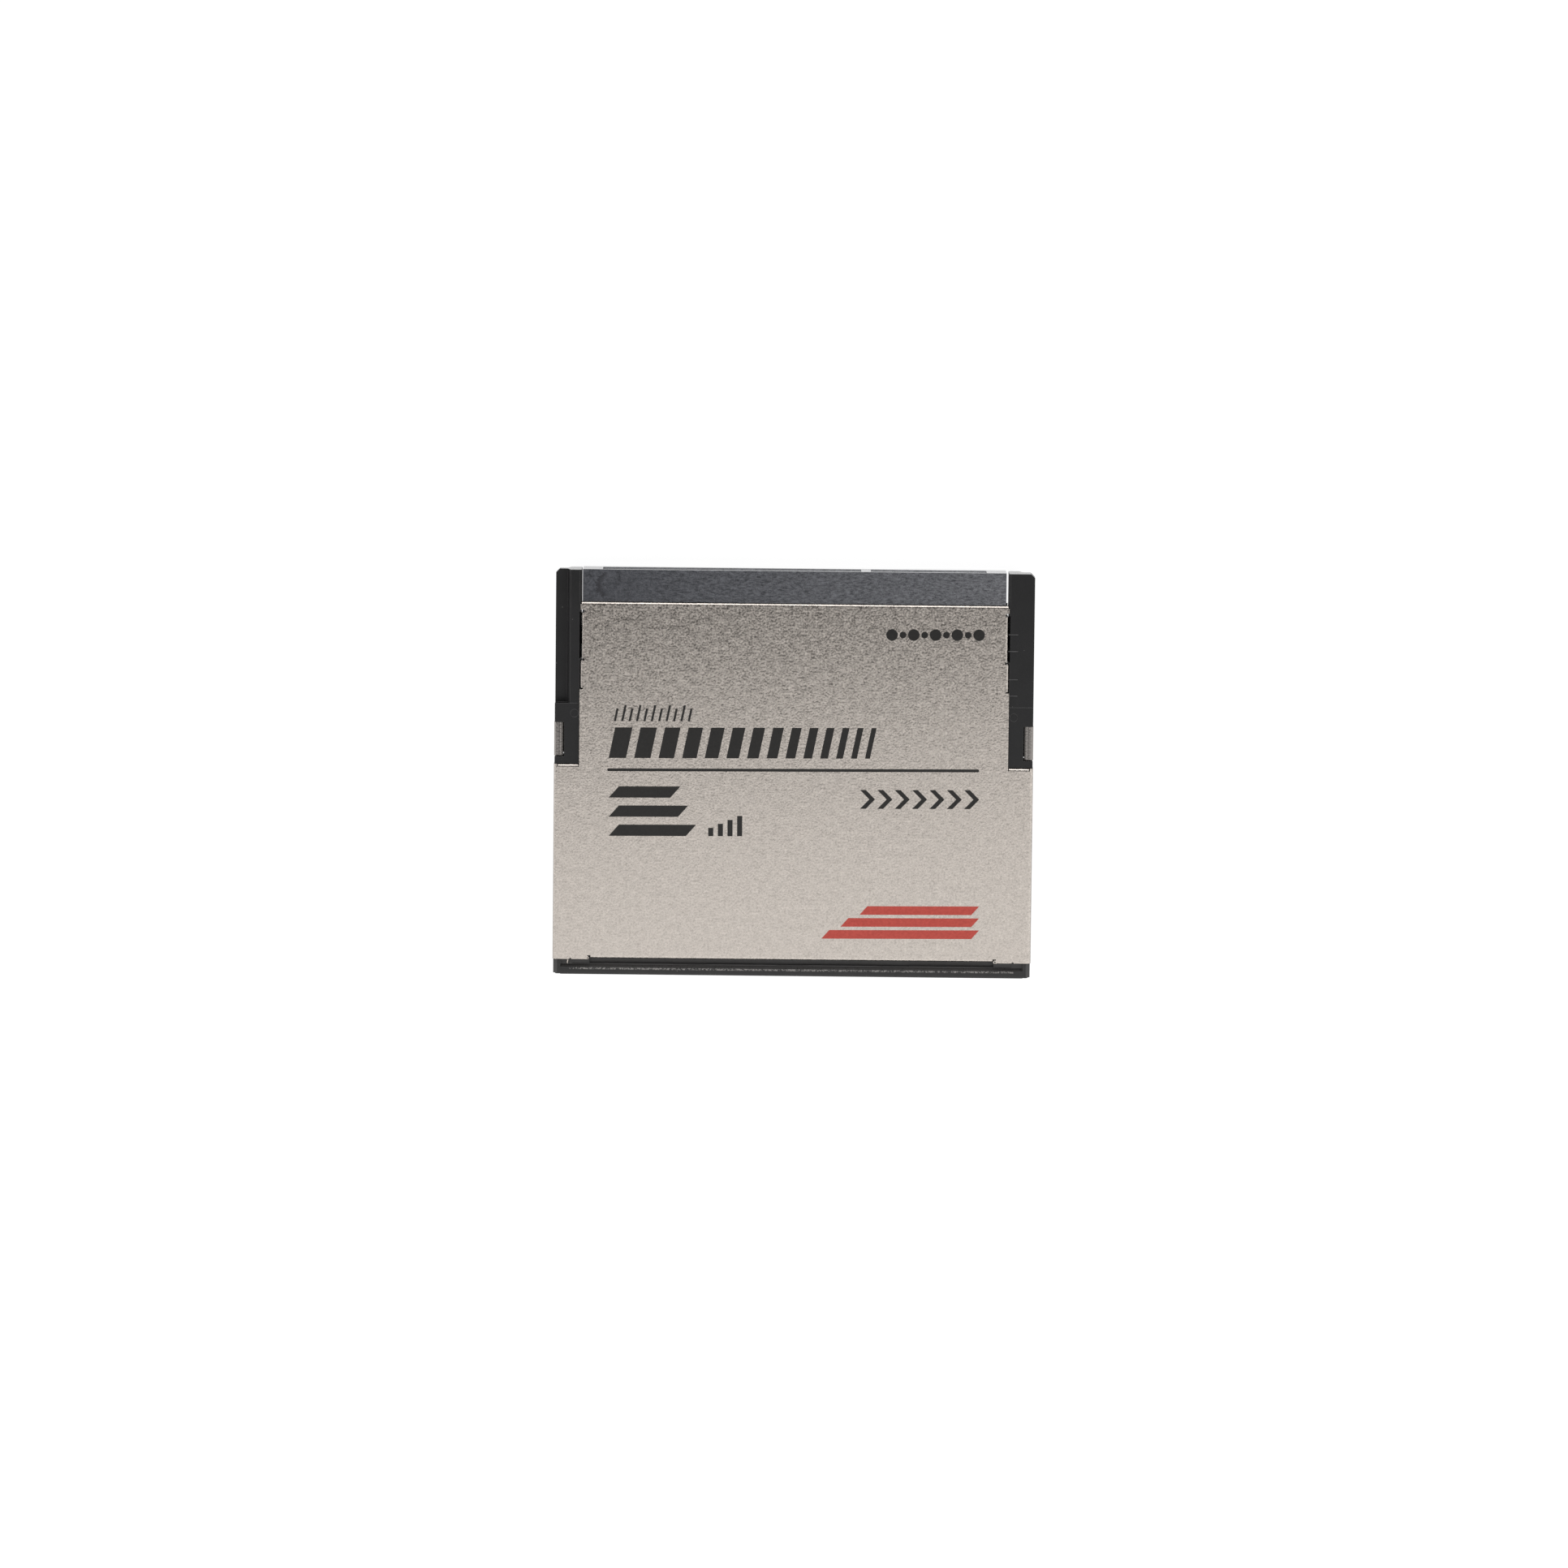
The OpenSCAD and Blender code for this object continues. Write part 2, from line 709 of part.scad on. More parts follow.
// Metal-lidded crystal that clocks the controller
module clock_crystal() {
    color([0.75, 0.76, 0.78])
        translate([left_column_x, controller_y, contact_z]) {
            block([-1.25, 1.25], [-1, 1], [0, 0.45]);
            block([-1.05, 1.05], [-0.8, 0.8], [0.4, 0.6]);
        }
}

// Two regulators in the column beside the buffer memory
module regulator(i) {
    color([0.12, 0.12, 0.12])
        translate([right_column_x, controller_y + (i - 1.5) * 3.6, contact_z])
            chip(2.6, 2.6, 0.8);
}

// Two power coils with end caps, in front of and behind the crystal
module inductor(i) {
    color([0.35, 0.34, 0.34])
        translate([left_column_x, controller_y + (i - 1.5) * 6, contact_z]) {
            block([-1.2, 1.2], [-0.9, 0.9], [0, 0.95]);
            both_sides() block([0.8, 1.25], [-0.95, 0.95], [0, 1]);
        }
}

// Two-ended ceramic part: a body with a thicker metal cap on each end
module end_capped(w, l, t) {
    block([-w / 2, w / 2], [0.03 - l / 2, l / 2 - 0.03], [0, t - 0.03]);
    both_sides() block([w / 2 - 0.25, w / 2], [-l / 2, l / 2], [0, t]);
}

// Capacitors in two rows of four under the controller
module capacitor(i) {
    column = (i - 1) % 4;
    row = floor((i - 1) / 4);
    color([0.62, 0.52, 0.4])
        translate([(column - 1.5) * column_pitch, controller_y + (row - 1) * 3, board_low])
            mirror([0, 0, 1]) end_capped(2, 1.25, 0.85);
}

// Resistor arrays behind the contact tails on the underside
module resistor_array(i) {
    color([0.13, 0.13, 0.14])
        translate([(i - 2.5) * column_pitch, controller_y + 3, board_low])
            mirror([0, 0, 1]) end_capped(2, 1, 0.4);
}

frame();
top_cover();
bottom_cover();
connector_housing();
circuit_board();
for (i = [1:signal_count])
    contact(i, signal_count, signal_mouth_x);
for (i = [1:power_count])
    contact(i, power_count, power_mouth_x);
for (i = [1:4])
    flash_chip(i);
controller_chip();
buffer_chip();
clock_crystal();
for (i = [1:2])
    regulator(i);
for (i = [1:2])
    inductor(i);
for (i = [1:8])
    capacitor(i);
for (i = [1:4])
    resistor_array(i);
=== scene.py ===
import json
import math

import bmesh
import bpy
from mathutils import Matrix, Vector


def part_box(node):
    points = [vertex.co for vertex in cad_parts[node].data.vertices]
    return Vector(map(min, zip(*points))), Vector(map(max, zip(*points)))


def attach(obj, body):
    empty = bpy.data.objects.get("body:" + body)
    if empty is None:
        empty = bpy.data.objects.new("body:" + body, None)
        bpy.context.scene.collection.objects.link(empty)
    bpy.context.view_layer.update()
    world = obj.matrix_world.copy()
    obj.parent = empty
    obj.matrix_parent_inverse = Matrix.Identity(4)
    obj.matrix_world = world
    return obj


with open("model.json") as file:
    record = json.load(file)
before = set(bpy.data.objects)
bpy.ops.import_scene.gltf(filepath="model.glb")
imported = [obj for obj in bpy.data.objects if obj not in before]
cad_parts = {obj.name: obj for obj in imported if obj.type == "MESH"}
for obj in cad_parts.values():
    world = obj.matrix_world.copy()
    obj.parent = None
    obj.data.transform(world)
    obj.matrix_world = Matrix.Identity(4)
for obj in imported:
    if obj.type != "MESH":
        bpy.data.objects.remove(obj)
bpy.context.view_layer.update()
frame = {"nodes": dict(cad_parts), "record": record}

# A silver and black memory card lies label side up on a white table, seen from nearly straight above.
# The card itself comes from the frame. This script adds its finishes, in places with painted light and shade,
# its print, small marks, the table, the lamps and the camera.

MM = 0.001
BODY = "root"

# Corners of the pieces that the print, the marks and some finishes are placed by
COVER_LOW, COVER_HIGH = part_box("top_cover")
FRAME_LOW, FRAME_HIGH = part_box("frame")
PLUG_LOW, PLUG_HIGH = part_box("connector_housing")
FACE_Z = COVER_HIGH.z

# The camera, as the photograph has it. The card's middle is given in the photograph's pixels.
PHOTO_SIDE = 1932
CARD_IN_PHOTO = (977.6, 954.5)
PIXELS_PER_MM = 13.8
CAMERA_DISTANCE = 0.7
CAMERA_TILT = math.radians(6.3)
CAMERA_ROLL = math.radians(0.6)
SENSOR_SIDE = 36.0
CLIP_START = 0.01
CLIP_END = 20.0


# Node helpers

def feed(tree, socket, value):
    """Gives a socket a plain value, or a link where the value is a socket itself."""
    if isinstance(value, bpy.types.NodeSocket):
        tree.links.new(value, socket)
    else:
        socket.default_value = value


def add_node(tree, kind, settings=None, inputs=None):
    """A shader node of that kind. Each input is a value, or a socket to link from."""
    made = tree.nodes.new("ShaderNode" + kind)
    for name, value in (settings or {}).items():
        setattr(made, name, value)
    for name, value in (inputs or {}).items():
        feed(tree, made.inputs[name], value)
    return made


def calculate(tree, operation, first, second=0.0, third=0.0):
    """A maths node's result."""
    return add_node(tree, "Math", {"operation": operation}, {0: first, 1: second, 2: third}).outputs[0]


def blend_colours(tree, share, low, high):
    """A colour between low and high by share."""
    return add_node(tree, "Mix", {"data_type": "RGBA"}, {0: share, 6: low, 7: high}).outputs[2]


def blend_values(tree, share, low, high):
    """A value between low and high by share."""
    return add_node(tree, "Mix", None, {0: share, 2: low, 3: high}).outputs[0]


def spread(tree, value, from_low, from_high, to_low=0.0, to_high=1.0):
    """A value moved from one range to another, and held inside it."""
    inputs = {
        "Value": value, "From Min": from_low, "From Max": from_high,
        "To Min": to_low, "To Max": to_high}
    return add_node(tree, "MapRange", None, inputs).outputs[0]


def noise(tree, place, scale, **inputs):
    """Random hills and hollows around 0.5."""
    return add_node(tree, "TexNoise", None, {"Vector": place, "Scale": scale, **inputs}).outputs[0]


def split(tree, vector):
    """The X, Y and Z of a vector."""
    return add_node(tree, "SeparateXYZ", None, {0: vector}).outputs


def object_place(tree):
    """The shaded point, in metres from the card's origin."""
    return add_node(tree, "TexCoord").outputs["Object"]


def facing(tree):
    """The X, Y and Z of the way that the surface looks."""
    return split(tree, add_node(tree, "NewGeometry").outputs["Normal"])


def drawn_out(tree, place, stretch):
    """Places squeezed along an axis, so that a texture there comes out drawn along it."""
    return add_node(tree, "Mapping", None, {"Vector": place, "Scale": stretch}).outputs[0]


def ramp(tree, share, stops):
    """A grey level that follows the stops (place, level) between 0 and 1."""
    made = add_node(tree, "ValToRGB", None, {0: share})
    band = made.color_ramp
    while len(band.elements) < len(stops):
        band.elements.new(0.5)
    for element, (place, level) in zip(band.elements, stops):
        element.position = place
        element.color = rgba(level, level, level)
    return made.outputs[0]


def bump(tree, height, depth_mm, strength, normal=None):
    """A bump of that depth over the given normal."""
    inputs = {"Height": height, "Distance": depth_mm * MM, "Strength": strength}
    if normal is not None:
        inputs["Normal"] = normal
    return add_node(tree, "Bump", None, inputs).outputs[0]


def rgba(red, green, blue):
    """An opaque colour."""
    return (red, green, blue, 1.0)


# Effects that several finishes share, as groups. Their sizes are in millimetres.

NUMBER = "NodeSocketFloat"
DIRECTION = "NodeSocketVector"

# Grains gather into lumps this many times their size, which take this share of the height
LUMP_SIZE = 3.4
LUMP_SHARE = 0.3

# Noise levels that become 0 and 1 in the grain's specks and in its clouds
SPECK_RANGE = (0.26, 0.74)
CLOUD_RANGE = (0.3, 0.7)

# How far a rounded normal agrees with the true one where an edge's mask starts, and where it is full
EDGE_RANGE = (0.995, 0.9)


def new_group(name, inputs, outputs):
    """An empty shader group with number inputs {title: value} and outputs {title: kind}."""
    tree = bpy.data.node_groups.new(name, "ShaderNodeTree")
    for title, value in inputs.items():
        socket = tree.interface.new_socket(title, in_out="INPUT", socket_type=NUMBER)
        socket.default_value = value
    for title, kind in outputs.items():
        tree.interface.new_socket(title, in_out="OUTPUT", socket_type=kind)
    return tree, tree.nodes.new("NodeGroupInput"), tree.nodes.new("NodeGroupOutput")


def place_group(tree, group, inputs):
    """One use of a group in a material, with its own values."""
    made = tree.nodes.new("ShaderNodeGroup")
    made.node_tree = group
    for name, value in inputs.items():
        feed(tree, made.inputs[name], value)
    return made.outputs


def scale_for(tree, size_mm):
    """The texture scale at which one cell has that size."""
    return calculate(tree, "DIVIDE", 1 / MM, size_mm)


def make_grain_group():
    """Fine even grain of blasted metal or moulded plastic: its relief, its specks and a drift of tone."""
    tree, given, result = new_group(
        "fine_grain", {"Grain size": 0.2, "Cloud size": 4.0},
        {"Height": NUMBER, "Speck": NUMBER, "Cloud": NUMBER})
    place = object_place(tree)
    grain_scale = scale_for(tree, given.outputs["Grain size"])
    lump_scale = calculate(tree, "DIVIDE", grain_scale, LUMP_SIZE)
    fine = noise(tree, place, grain_scale, Detail=1.2, Roughness=0.5)
    lumps = noise(tree, place, lump_scale, Detail=1.0)
    cloud = noise(tree, place, scale_for(tree, given.outputs["Cloud size"]), Detail=3.0)
    height = blend_values(tree, LUMP_SHARE, fine, lumps)
    tree.links.new(height, result.inputs["Height"])
    tree.links.new(spread(tree, height, *SPECK_RANGE), result.inputs["Speck"])
    tree.links.new(spread(tree, cloud, *CLOUD_RANGE), result.inputs["Cloud"])
    return tree


def make_edge_group():
    """Rounded edges: a softened normal, and a mask that is 1 along the edges."""
    tree, given, result = new_group("rounded_edges", {"Width": 0.06}, {"Edge": NUMBER, "Normal": DIRECTION})
    width = calculate(tree, "MULTIPLY", given.outputs["Width"], MM)
    rounded = add_node(tree, "Bevel", {"samples": 6}, {"Radius": width}).outputs[0]
    true_normal = add_node(tree, "NewGeometry").outputs["Normal"]
    product = add_node(tree, "VectorMath", {"operation": "DOT_PRODUCT"}, {0: rounded, 1: true_normal})
    tree.links.new(spread(tree, product.outputs["Value"], *EDGE_RANGE), result.inputs["Edge"])
    tree.links.new(rounded, result.inputs["Normal"])
    return tree


def make_dust_group():
    """Sparse pale specks of dust, about one in each cell."""
    tree, given, result = new_group("dust", {"Spacing": 1.5, "Speck size": 0.05}, {"Dust": NUMBER})
    inputs = {
        "Vector": object_place(tree),
        "Scale": scale_for(tree, given.outputs["Spacing"]),
        "Randomness": 1.0}
    from_cell = add_node(tree, "TexVoronoi", None, inputs).outputs["Distance"]
    reach = calculate(tree, "DIVIDE", given.outputs["Speck size"], given.outputs["Spacing"])
    tree.links.new(calculate(tree, "LESS_THAN", from_cell, reach), result.inputs["Dust"])
    return tree


def make_tinned_group():
    """Mask of the two tinned ends of a small board part, by the share of its length."""
    tree, given, result = new_group("tinned_ends", {"End share": 0.12}, {"Ends": NUMBER})
    along = split(tree, add_node(tree, "TexCoord").outputs["Generated"])[0]
    from_middle = calculate(tree, "ABSOLUTE", calculate(tree, "SUBTRACT", along, 0.5))
    start = calculate(tree, "SUBTRACT", 0.5, given.outputs["End share"])
    tree.links.new(calculate(tree, "GREATER_THAN", from_middle, start), result.inputs["Ends"])
    return tree


GRAIN = make_grain_group()
EDGE = make_edge_group()
DUST = make_dust_group()
TINNED = make_tinned_group()


# Finishes

def new_finish(name, **sockets):
    """A material with its Principled shader, and the plain values set on the shader's own sockets."""
    material = bpy.data.materials.new(name)
    material.use_nodes = True
    tree = material.node_tree
    shader = tree.nodes["Principled BSDF"]
    for title, value in sockets.items():
        shader.inputs[title.replace("_", " ")].default_value = value
    return material, tree, shader


def connect(tree, shader, colour, roughness, normal):
    """Leads a finish's colour, roughness and normal into its shader."""
    tree.links.new(colour, shader.inputs["Base Color"])
    tree.links.new(roughness, shader.inputs["Roughness"])
    tree.links.new(normal, shader.inputs["Normal"])


def front_face(tree):
    """1 on faces that look out of the connector end, where the mould was polished, and 0 elsewhere."""
    turned_away = 0.6
    straight_on = 0.9
    return spread(tree, facing(tree)[1], turned_away, straight_on)


# The sheet shelves in the latch notches: how far they lie below the cover's face, and where they begin
# and end on each side of the card's middle
SHELF_DROP = 0.3 * MM
SHELF_INNER = 20.5 * MM
SHELF_OUTER = 21.4 * MM

# Painted shade across a shelf, from its inner end to its outer end: places and their grey levels, darkest at
# the inner end and along a dark line
SHELF_SHADE_LEVELS = (
    (0.0, 0.08), (0.2, 0.16), (0.36, 0.6), (0.44, 0.5),
    (0.48, 0.1), (0.54, 0.4), (0.65, 0.48), (1.0, 0.5))


def satin_steel():
    """Warm silver stainless sheet with fine blasted grain, painted shade on its steep sides and on the
    shelves in the notches, and painted light in the specks' contrast towards the connector end.
    """
    pit = rgba(0.235, 0.214, 0.195)
    peak = rgba(0.91, 0.83, 0.757)
    # Painted shade: the colour that steep faces, such as the folds along the sides, are darkened towards
    steep_side_shade = rgba(0.40, 0.37, 0.345)
    # Painted shade: the darkest and the palest tone of the shaded notch shelves
    shelf_deepest_shade = rgba(0.04, 0.037, 0.034)
    shelf_palest_shade = rgba(0.50, 0.465, 0.44)
    # Painted light: the specks' contrast at the rear end, against 1 at the connector end
    rear_speck_contrast = 0.5
    shelf_sparkle = 0.12
    level_face = 0.9
    steep_face = 0.3
    smoothest = 0.14
    roughest = 0.42

    # The grey Specular Tint dims the grazing reflections on the folds, as painted shade
    material, tree, shader = new_finish("satin_steel", Metallic=1.0, Specular_Tint=rgba(0.55, 0.53, 0.51))
    grain = place_group(tree, GRAIN, {"Grain size": 0.18})
    edge = place_group(tree, EDGE, {"Width": 0.05})
    across, along, height = split(tree, object_place(tree))
    upward = facing(tree)[2]

    # Painted light: the specks' contrast is painted stronger towards the connector end, where the lighting
    # brings the grain out
    depth = spread(tree, along, COVER_LOW.y, COVER_HIGH.y, rear_speck_contrast, 1.0)
    off_mean = calculate(tree, "SUBTRACT", grain["Speck"], 0.5)
    pitted = calculate(tree, "MULTIPLY_ADD", off_mean, depth, 0.5)
    blasted = blend_colours(tree, pitted, pit, peak)
    # Painted shade: steep faces are painted darker, standing in for the shade along the card's sides
    steep_shade_share = spread(tree, calculate(tree, "ABSOLUTE", upward), level_face, steep_face)
    outer = blend_colours(tree, steep_shade_share, blasted, steep_side_shade)

    # Painted shade on the notch shelves: a tone across each shelf, darker at its inner end and along a dark
    # line
    from_middle = calculate(tree, "ABSOLUTE", across)
    lines = ramp(tree, spread(tree, from_middle, SHELF_INNER, SHELF_OUTER), SHELF_SHADE_LEVELS)
    sparkle = calculate(tree, "MULTIPLY", grain["Speck"], shelf_sparkle)
    shelf_shaded = blend_colours(tree, calculate(tree, "ADD", lines, sparkle), shelf_deepest_shade, shelf_palest_shade)
    below_face = calculate(tree, "LESS_THAN", height, FACE_Z - SHELF_DROP)
    looks_up = calculate(tree, "GREATER_THAN", upward, steep_face)
    inside = calculate(tree, "MULTIPLY", looks_up, below_face)

    connect(tree, shader,
            colour=blend_colours(tree, inside, outer, shelf_shaded),
            roughness=blend_values(tree, grain["Speck"], smoothest, roughest),
            normal=bump(tree, grain["Height"], depth_mm=0.018, strength=1.0, normal=edge["Normal"]))
    return material


# The rear bar begins behind this line, and its recess lies this far below the frame's top
BAR_Y = COVER_LOW.y + 0.2 * MM
RECESS_DROP = 0.08 * MM

# The painted highlight along the edge of the nail groove in the rear bar: its line, its reach to each side
# and its half width
GROOVE_EDGE_Y = FRAME_LOW.y + 0.56 * MM
GROOVE_HIGHLIGHT_REACH = 19.9 * MM
GROOVE_HIGHLIGHT_CORE = 0.05 * MM
GROOVE_HIGHLIGHT_FADE = 0.11 * MM


def black_moulding():
    """Near black moulded plastic with a fine spark-eroded grain and a little paler rear bar. Painted light
    lifts the bar's shaded recess, and painted highlights lie along the edges and along the nail groove's
    edge.
    """
    rail_dark = rgba(0.0045, 0.0043, 0.0048)
    rail_light = rgba(0.0085, 0.0081, 0.0087)
    bar_dark = rgba(0.015, 0.0147, 0.0146)
    bar_light = rgba(0.022, 0.0215, 0.0212)
    # Painted light: the paler tone of the shaded recess in the rear bar
    recess = rgba(0.05, 0.048, 0.047)
    # Painted highlight: the pale tone that the edges are painted with
    edge_highlight = rgba(0.07, 0.068, 0.068)
    # Painted highlight: the pale tone along the nail groove's lit edge
    groove_highlight = rgba(0.30, 0.285, 0.272)
    dust_pale = rgba(0.2, 0.195, 0.19)
    groove_highlight_speck_range = (0.35, 0.75)

    material, tree, shader = new_finish("black_moulding", IOR=1.5)
    grain = place_group(tree, GRAIN, {"Grain size": 0.12, "Cloud size": 3.0})
    edge = place_group(tree, EDGE, {"Width": 0.06})
    dust = place_group(tree, DUST, {"Spacing": 0.9, "Speck size": 0.035})
    across, along, height = split(tree, object_place(tree))

    # Rails, bar and the recess in the bar, which is painted paler as painted light where shade falls
    rear = calculate(tree, "LESS_THAN", along, BAR_Y)
    low = calculate(tree, "LESS_THAN", height, FRAME_HIGH.z - RECESS_DROP)
    sunken = calculate(tree, "MULTIPLY", rear, low)
    rail = blend_colours(tree, grain["Cloud"], rail_dark, rail_light)
    bar = blend_colours(tree, grain["Cloud"], bar_dark, bar_light)
    plain = blend_colours(tree, sunken, blend_colours(tree, rear, rail, bar), recess)

    # Painted highlights along the edges and along the nail groove's edge, and dust
    edge_highlighted = blend_colours(tree, edge["Edge"], plain, edge_highlight)
    # Painted highlight: a speckled pale line along the edge of the nail groove
    from_groove = calculate(tree, "ABSOLUTE", calculate(tree, "SUBTRACT", along, GROOVE_EDGE_Y))
    near_groove = spread(tree, from_groove, GROOVE_HIGHLIGHT_CORE, GROOVE_HIGHLIGHT_FADE, 1.0, 0.0)
    inboard = calculate(tree, "LESS_THAN", calculate(tree, "ABSOLUTE", across), GROOVE_HIGHLIGHT_REACH)
    groove_highlight_specks = calculate(tree, "MULTIPLY", inboard, spread(tree, grain["Speck"], *groove_highlight_speck_range))
    with_groove_highlight = blend_colours(tree, calculate(tree, "MULTIPLY", near_groove, groove_highlight_specks), edge_highlighted, groove_highlight)

    gritty = blend_values(tree, grain["Speck"], 0.42, 0.6)
    polished = blend_values(tree, grain["Speck"], 0.1, 0.2)
    connect(tree, shader,
            colour=blend_colours(tree, dust["Dust"], with_groove_highlight, dust_pale),
            roughness=blend_values(tree, front_face(tree), gritty, polished),
            normal=bump(tree, grain["Height"], depth_mm=0.012, strength=0.5, normal=edge["Normal"]))
    return material


# The plug's left-hand end, where the plastic met the end of the mould and curled: from here it fades
# into the streaks that run along the rest
CURLED_END_X = PLUG_LOW.x + 2.0 * MM
STREAKED_X = PLUG_LOW.x + 7.0 * MM

# One dark curl there: its middle, its radius and how far its line wanders
CURL_CENTRE = (PLUG_LOW.x + 2.45 * MM, PLUG_HIGH.y - 1.35 * MM)
CURL_RADIUS = 1.1 * MM
CURL_WANDER = 1.3 * MM
CURL_CORE = 0.1 * MM
CURL_FADE = 0.32 * MM
CURL_STRENGTH = 0.75
CURL_END = 0.6 * MM


def dark_curl(tree, across, along, wander):
    """Mask of the left-hand half of a wandering ring."""
    aside = calculate(tree, "SUBTRACT", across, CURL_CENTRE[0])
    ahead = calculate(tree, "SUBTRACT", along, CURL_CENTRE[1])
    ahead_squared = calculate(tree, "MULTIPLY", ahead, ahead)
    reach = calculate(tree, "SQRT", calculate(tree, "MULTIPLY_ADD", aside, aside, ahead_squared))
    wavy = calculate(tree, "MULTIPLY_ADD", wander, CURL_WANDER, reach)
    off_ring = calculate(tree, "ABSOLUTE", calculate(tree, "SUBTRACT", wavy, CURL_RADIUS + CURL_WANDER / 2))
    ring = spread(tree, off_ring, CURL_CORE, CURL_FADE, CURL_STRENGTH, 0.0)
    return calculate(tree, "MULTIPLY", ring, spread(tree, aside, -CURL_END, 0.0, 1.0, 0.0))


def blue_grey_moulding():
    """Dark blue grey connector plastic with a fine streaky grain, and curled flow marks at its left end."""
    # Painted light and shade: the tones at the shaded left end and at the lit right end
    left_dark_in_shade = rgba(0.022, 0.023, 0.028)
    left_light_in_shade = rgba(0.110, 0.114, 0.130)
    right_dark_lit = rgba(0.055, 0.057, 0.064)
    right_light_lit = rgba(0.240, 0.244, 0.262)
    curl_dark = rgba(0.026, 0.025, 0.030)
    streak_stretch = (0.35, 1.0, 1.0)
    grain_share = 0.45
    tone_range = (0.36, 0.64)

    material, tree, shader = new_finish("blue_grey_moulding", IOR=1.5)
    grain = place_group(tree, GRAIN, {"Grain size": 0.11, "Cloud size": 1.1})
    edge = place_group(tree, EDGE, {"Width": 0.05})
    place = object_place(tree)
    across, along, _ = split(tree, place)

    # Streaks along the plug, and curls at its left-hand end
    streaks = noise(tree, drawn_out(tree, place, streak_stretch), 7 / MM, Detail=2.0, Distortion=0.6)
    curls = noise(tree, place, 1.6 / MM, Detail=4.0, Distortion=2.2)
    left_end = spread(tree, across, CURLED_END_X, STREAKED_X, 1.0, 0.0)
    texture = blend_values(tree, left_end, streaks, curls)
    speckled = blend_values(tree, grain_share, texture, grain["Height"])

    # Painted light: the plastic is painted paler to the right, where more light falls on it
    tone = spread(tree, speckled, *tone_range)
    rightward = spread(tree, across, PLUG_LOW.x, PLUG_HIGH.x)
    left = blend_colours(tree, tone, left_dark_in_shade, left_light_in_shade)
    right = blend_colours(tree, tone, right_dark_lit, right_light_lit)
    plain = blend_colours(tree, rightward, left, right)

    gritty = blend_values(tree, grain["Cloud"], 0.34, 0.46)
    polished = blend_values(tree, grain["Speck"], 0.05, 0.16)
    connect(tree, shader,
            colour=blend_colours(tree, dark_curl(tree, across, along, curls), plain, curl_dark),
            roughness=blend_values(tree, front_face(tree), gritty, polished),
            normal=bump(tree, speckled, depth_mm=0.006, strength=0.5, normal=edge["Normal"]))
    return material


def gold_plating():
    """Hard gold over copper, with wipe marks along the contact."""
    deep_gold = rgba(0.72, 0.47, 0.17)
    pale_gold = rgba(0.96, 0.74, 0.36)
    wipe_stretch = (1.0, 0.04, 1.0)
    wipe_range = (0.3, 0.7)

    material, tree, shader = new_finish("gold_plating", Metallic=1.0)
    edge = place_group(tree, EDGE, {"Width": 0.03})
    wipes = noise(tree, drawn_out(tree, object_place(tree), wipe_stretch), 26 / MM, Detail=2.0)
    connect(tree, shader,
            colour=blend_colours(tree, wipes, deep_gold, pale_gold),
            roughness=spread(tree, wipes, *wipe_range, 0.16, 0.34),
            normal=bump(tree, wipes, depth_mm=0.002, strength=0.4, normal=edge["Normal"]))
    return material


def green_laminate():
    """Circuit board: green solder mask over copper tracks and plated holes."""
    bare_green = rgba(0.012, 0.085, 0.045)
    track_green = rgba(0.03, 0.16, 0.075)
    hole_gold = rgba(0.45, 0.36, 0.16)
    track_level = 0.6
    bare_share = 0.45
    hole_reach = 0.12

    material, tree, shader = new_finish("green_laminate", IOR=1.5, Roughness=0.32)
    place = object_place(tree)
    rows_inputs = {"Vector": place, "Scale": 0.42 / MM, "Distortion": 2.0}
    rows = add_node(tree, "TexWave", None, rows_inputs).outputs[1]
    regions = add_node(tree, "TexVoronoi", None, {"Vector": place, "Scale": 0.35 / MM}).outputs["Color"]
    region = add_node(tree, "SeparateColor", None, {0: regions}).outputs[0]
    routed = calculate(tree, "GREATER_THAN", region, bare_share)
    track = calculate(tree, "MULTIPLY", calculate(tree, "GREATER_THAN", rows, track_level), routed)
    from_hole = add_node(tree, "TexVoronoi", None, {"Vector": place, "Scale": 0.8 / MM}).outputs["Distance"]
    hole = calculate(tree, "LESS_THAN", from_hole, hole_reach)
    mask = blend_colours(tree, track, bare_green, track_green)
    tree.links.new(blend_colours(tree, hole, mask, hole_gold), shader.inputs["Base Color"])
    tree.links.new(bump(tree, track, depth_mm=0.03, strength=0.6), shader.inputs["Normal"])
    return material


def chip_moulding():
    """Black epoxy package with a dull, slightly gritty face."""
    body_dark = rgba(0.018, 0.018, 0.019)
    body_light = rgba(0.034, 0.034, 0.036)
    # Painted highlight: the paler tone that the package's edges are painted with
    edge_highlight = rgba(0.06, 0.06, 0.062)

    material, tree, shader = new_finish("chip_moulding", IOR=1.5)
    grain = place_group(tree, GRAIN, {"Grain size": 0.09, "Cloud size": 2.5})
    edge = place_group(tree, EDGE, {"Width": 0.05})
    body = blend_colours(tree, grain["Speck"], body_dark, body_light)
    connect(tree, shader,
            colour=blend_colours(tree, edge["Edge"], body, edge_highlight),
            roughness=blend_values(tree, grain["Cloud"], 0.5, 0.64),
            normal=bump(tree, grain["Height"], depth_mm=0.01, strength=0.6, normal=edge["Normal"]))
    return material


